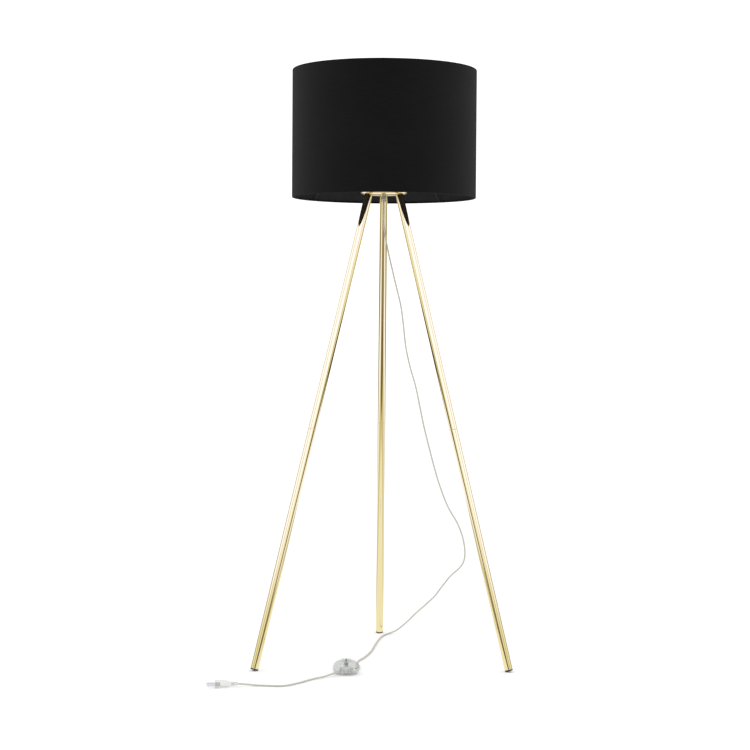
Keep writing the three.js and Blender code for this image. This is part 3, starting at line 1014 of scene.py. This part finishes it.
def add_plug():
    place = plug_frame()
    outline = [
        (0, -3.1), (17, -4.2, 4), (22, -9, 6), (30, -12.5, 6), (40, -12.5, 4), (46, -17.4, 3),
        (52, -17.4, 1.5), (52, 17.4, 1.5), (46, 17.4, 3), (40, 12.5, 4), (30, 12.5, 6), (22, 9, 6),
        (17, 4.2, 4), (0, 3.1),
    ]
    body = slab(outline, -6.8, 6.8, 2.6)
    for v in body.vertices:
        x = v.co.x / MM
        limit = 3.2 + 3.6 * min(1, max(0, (x - 8) / 22)) ** 0.8
        v.co.z = max(-limit * MM, min(limit * MM, v.co.z))
    holes = [along_x(rod(2.3, 40, 60), y=side * PIN_SIDE) for side in (1, -1)]
    piece = finished("plug_shell", cut(body, *holes), "clear_plastic", "stand", ["plug_body"], place)
    piece.visible_shadow = False
    ribs = []
    for i in range(RIB_COUNT):
        radius = 3.5 + 0.12 * i
        rib = lathe(
            [
                (RIB_BORE, -RIB_HALF), (radius, -RIB_HALF, 0.5), (radius, RIB_HALF, 0.5),
                (RIB_BORE, RIB_HALF),
            ],
            32,
        )
        ribs.append(along_x(rib, x=2 + RIB_STEP * i))
    rib_piece = finished("plug_relief", joined(*ribs), "clear_plastic", "stand", [], place)
    rib_piece.visible_shadow = False
    pins = []
    for name, side in (("left", 1), ("right", -1)):
        pin = lathe([(0, 40.3), (1.9, 40.3), (1.9, 71, 1.6), (0, 71)], 32, steps=6)
        pin = along_x(pin, y=side * PIN_SIDE)
        pins.append(finished(f"pin_{name}", pin, "nickel", "stand", [f"plug_pin_{name}"], place))
    return [piece, rib_piece, *pins]


# ---- the CAD nodes that stay ----
KEPT = {
    "zinc_steel": [
        "leg_bracket", "hub_locknut", "hub_nipple", "grip_screw",
        *[f"leg_{part}_{leg}" for part in ("joiner", "insert", "stud", "nut") for leg in legs],
    ],
    "contact_brass": ["holder_contact"],
    "nickel": [
        "switch_contact_front", "switch_contact_rear", "switch_terminal_in", "switch_terminal_out",
        "switch_spring",
    ],
    "ceramic": ["holder_core"],
}


def finish_kept_nodes():
    for finish, names in KEPT.items():
        for name in names:
            node = nodes[name]
            node.data.materials.clear()
            node.data.materials.append(finishes[finish])
            node.data.shade_smooth()
            node.data.set_sharp_from_angle(angle=math.radians(30))


# ---- the studio ----
FLOOR_RADIUS = 14
FLOOR_DROP = 0.0004
PAINTED_REFLECTION_LIFT = 0.0003
WALL_RADIUS = 4.0
WALL_HEIGHT = 5.0
PLAIN_LIGHT = 1.22
GLOSS_LIGHT = 1.3


def disc(radius):
    bm = bmesh.new()
    bmesh.ops.create_circle(bm, cap_ends=True, segments=96, radius=radius)
    return meshed(bm)


def add_floor():
    mesh = disc(FLOOR_RADIUS)
    floor = linked("floor", mesh)
    floor.location.z = -FLOOR_DROP
    n = Nodes("floor", Roughness=0.9, Specular_IOR_Level=0.0)
    n.colour(n.noise((3, 3, 3)), (0.90, 0.90, 0.90), (0.92, 0.92, 0.92))
    mesh.materials.append(n.material)


def add_studio():
    """A white studio that lights evenly from all round; gloss sees it a little brighter."""
    scene = bpy.context.scene
    scene.view_settings.view_transform = "Standard"
    world = bpy.data.worlds.new("studio")
    scene.world = world
    world.use_nodes = True
    tree = world.node_tree
    tree.nodes.clear()

    def node(kind, **inputs):
        made = tree.nodes.new(f"ShaderNode{kind}")
        for key, value in inputs.items():
            made.inputs[key.replace("_", " ")].default_value = value
        return made

    paths = tree.nodes.new("ShaderNodeLightPath")
    plain = node("Background", Color=(1, 1, 1, 1), Strength=PLAIN_LIGHT)
    shiny = node("Background", Color=(1, 1, 1, 1), Strength=GLOSS_LIGHT)
    mix = tree.nodes.new("ShaderNodeMixShader")
    out = tree.nodes.new("ShaderNodeOutputWorld")
    tree.links.new(paths.outputs["Is Glossy Ray"], mix.inputs["Fac"])
    tree.links.new(plain.outputs[0], mix.inputs[1])
    tree.links.new(shiny.outputs[0], mix.inputs[2])
    tree.links.new(mix.outputs[0], out.inputs["Surface"])


class Glow:
    """An emission material for the studio's gloss-only pieces, which paint reflections into polished metal,
    made of colour ramps multiplied.
    """

    def __init__(self, name):
        self.material = bpy.data.materials.new(name)
        self.material.use_nodes = True
        self.tree = self.material.node_tree
        self.tree.nodes.clear()
        self.place = self.tree.nodes.new("ShaderNodeTexCoord").outputs["Object"]
        self.colour = None

    def node(self, kind, *sources):
        made = self.tree.nodes.new(f"ShaderNode{kind}")
        for slot, source in zip(made.inputs, sources):
            self.tree.links.new(source, slot)
        return made

    def math(self, operation, source, other):
        made = self.node("Math", source)
        made.operation = operation
        if isinstance(other, (int, float)):
            made.inputs[1].default_value = other
        else:
            self.tree.links.new(other, made.inputs[1])
        return made.outputs[0]

    def distance(self, centre=(0, 0, 0), size=(1, 1, 1)):
        """How far a point is from a centre, in units of the size given."""
        shifted = self.node("Mapping", self.place)
        shifted.vector_type = "TEXTURE"
        shifted.inputs["Location"].default_value = centre
        shifted.inputs["Scale"].default_value = size
        length = self.node("VectorMath", shifted.outputs[0])
        length.operation = "LENGTH"
        return length.outputs["Value"]

    def tint(self, source, reach, tones):
        """Multiplies the colour by tones given against a value that runs from 0 to reach."""
        ramp = self.node("ValToRGB", self.math("DIVIDE", source, reach))
        stops = ramp.color_ramp
        while len(stops.elements) < len(tones):
            stops.elements.new(0.5)
        for element, (value, tone) in zip(stops.elements, tones):
            element.position = value / reach
            element.color = (*tone, 1)
        if self.colour is None:
            self.colour = ramp.outputs["Color"]
            return
        both = self.node("VectorMath", self.colour, ramp.outputs["Color"])
        both.operation = "MULTIPLY"
        self.colour = both.outputs[0]

    def stand(self, name, mesh, height=0.0):
        """Puts the piece in the studio, where only gloss sees it."""
        glow = self.node("Emission", self.colour)
        self.node("OutputMaterial", glow.outputs[0])
        mesh.materials.append(self.material)
        piece = linked(name, mesh)
        piece.location.z = height
        piece.visible_camera = False
        piece.visible_diffuse = False
        piece.visible_transmission = False
        piece.visible_shadow = False


def add_painted_floor_reflection():
    """A glowing disc over the floor that only gloss sees: a painted reflection of the floor for polished
    metal, pale under the lamp, dimmer round it, lit again further out, and a painted dark spot in front."""
    glow = Glow("painted_floor_reflection")
    far = WALL_RADIUS
    glow.tint(glow.distance(), far, (
        (0.0, (0.98, 1.0, 1.1)), (0.50, (0.96, 0.98, 1.0)), (0.65, (0.68, 0.65, 0.55)),
        (1.2, (0.68, 0.65, 0.55)), (1.5, (1.10, 1.16, 1.7)), (3.1, (1.08, 1.14, 1.6)),
        (3.5, (0.66, 0.62, 0.50)), (3.7, (0.66, 0.62, 0.50)), (far, (0.12, 0.09, 0.05)),
    ))
    # Painted dark reflection: the spot in front of the lamp, which darkens the brass where the brass faces
    # it.
    dark = (0.26, 0.21, 0.12)
    glow.tint(glow.distance((-0.1, -1.72, 0), (1.4, 1.05, 1)), 2.0, (
        (0.0, dark), (0.92, dark), (1.02, (1, 1, 1)),
    ))
    glow.stand("painted_floor_reflection", disc(far), PAINTED_REFLECTION_LIFT)


def add_painted_wall_reflection():
    """A glowing ring round the floor that only gloss sees: painted reflections for polished metal, with a
    dark foot, a dim band, then white screens with dimmer seams between them in front and a dim back."""
    glow = Glow("painted_wall_reflection")
    apart = glow.node("SeparateXYZ", glow.place)
    dim = (0.90, 0.90, 0.82)
    # Painted highlight: the top of the ring glows a bluish white, so the highlights in the brass come out
    # white.
    glow.tint(apart.outputs["Z"], WALL_HEIGHT, (
        (0.0, (0.08, 0.06, 0.03)), (0.32, (0.08, 0.06, 0.03)), (0.40, dim), (0.80, dim),
        (1.15, (1.25, 1.32, 2.1)), (WALL_HEIGHT, (1.34, 1.40, 2.35)),
    ))
    turn = glow.math("ABSOLUTE", glow.math("ARCTAN2", apart.outputs["X"], apart.outputs["Y"]), 0)
    # Painted reflections by turn round the lamp: the dimmer seams and the dim back show as darker stripes
    # down the brass.
    seam = (0.60, 0.52, 0.34)
    full = (1, 1, 1)
    dim_back = (0.62, 0.54, 0.36)
    degrees = (
        (0, dim_back), (70, dim_back), (76, full), (124, full), (127, seam), (141, seam),
        (144, full), (180, full),
    )
    glow.tint(turn, math.pi, [(math.radians(angle), tone) for angle, tone in degrees])
    bm = bmesh.new()
    bmesh.ops.create_cone(
        bm, cap_ends=False, segments=96, radius1=WALL_RADIUS, radius2=WALL_RADIUS, depth=WALL_HEIGHT,
    )
    bmesh.ops.translate(bm, vec=(0, 0, WALL_HEIGHT / 2), verts=bm.verts)
    glow.stand("painted_wall_reflection", meshed(bm))


add_camera()
for leg in legs:
    add_leg(leg)
add_hub()
add_lampholder()
add_bulb()
add_shade()
add_fitter()
switch_pieces = add_switch()
plug_pieces = add_plug()
add_cord("cord_to_switch", CORD_TO_SWITCH)
add_cord("cord_to_plug", CORD_TO_PLUG)
finish_kept_nodes()
press_spring()
add_floor()
add_studio()
add_painted_floor_reflection()
add_painted_wall_reflection()
